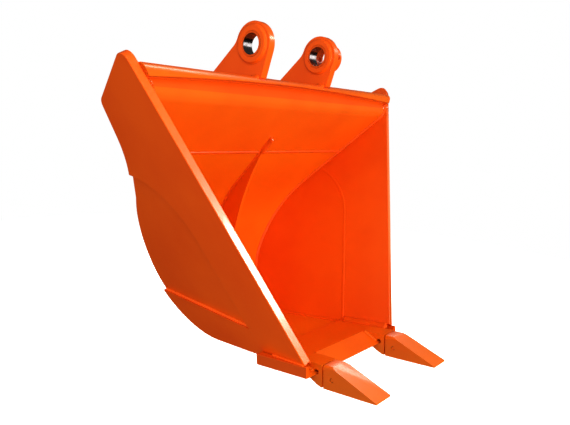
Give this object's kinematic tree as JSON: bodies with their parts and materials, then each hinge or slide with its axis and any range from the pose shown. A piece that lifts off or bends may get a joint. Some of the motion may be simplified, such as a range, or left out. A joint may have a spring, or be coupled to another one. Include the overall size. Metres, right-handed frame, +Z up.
{
  "type": "trapezoidal ditch bucket",
  "caption": "Welded trapezoidal excavator bucket for cutting V-shaped ditches, with flared cheeks, a torsion box, pin ears and replaceable teeth.",
  "frame": {"origin": "on the ground under the middle of the bucket, which stands on its teeth and heel", "axes": "+X across the bucket along both pin bores, +Y from the mouth to the back, +Z up"},
  "size_m": [1.3256, 0.9198, 1.0633],
  "materials": {
    "orange_paint": "glossy orange enamel on welded plate",
    "tooth_paint": "orange enamel on cast steel teeth",
    "bush_steel": "bored steel bush",
    "pin_steel": "turned steel pin"
  },
  "bodies": {
    "root": {"arm_boss_left": "orange_paint", "arm_boss_right": "orange_paint", "arm_bush_left": "bush_steel", "arm_bush_right": "bush_steel", "arm_collar_right": "orange_paint", "back_plate": "orange_paint", "box_rear_plate": "orange_paint", "box_top_plate": "orange_paint", "box_web_left": "orange_paint", "box_web_right": "orange_paint", "centre_rib": "orange_paint", "cheek_plate_left": "orange_paint", "cheek_plate_right": "orange_paint", "cutting_edge": "orange_paint", "ear_left": "orange_paint", "ear_right": "orange_paint", "edge_block_left": "orange_paint", "edge_block_right": "orange_paint", "heel_plate_left": "orange_paint", "heel_plate_right": "orange_paint", "link_boss_left": "orange_paint", "link_boss_right": "orange_paint", "link_bush_left": "bush_steel", "link_bush_right": "bush_steel", "link_collar_right": "orange_paint", "lip_bar": "orange_paint", "pin_retainer_left": "pin_steel", "pin_retainer_right": "pin_steel", "shell_plate": "orange_paint", "side_wall_left": "orange_paint", "side_wall_right": "orange_paint", "tooth_adapter_left": "tooth_paint", "tooth_adapter_right": "tooth_paint", "tooth_point_left": "tooth_paint", "tooth_point_right": "tooth_paint"},
    "tooth_pin_left": {"tooth_pin_left": "pin_steel"},
    "tooth_pin_right": {"tooth_pin_right": "pin_steel"}
  },
  "joints": [
    {"name": "tooth_pin_left_slide", "type": "slide", "parent": "root", "child": "tooth_pin_left", "axis": [-1, 0, 0], "range_m": [0, 0.08]},
    {"name": "tooth_pin_right_slide", "type": "slide", "parent": "root", "child": "tooth_pin_right", "axis": [1, 0, 0], "range_m": [0, 0.08]}
  ]
}
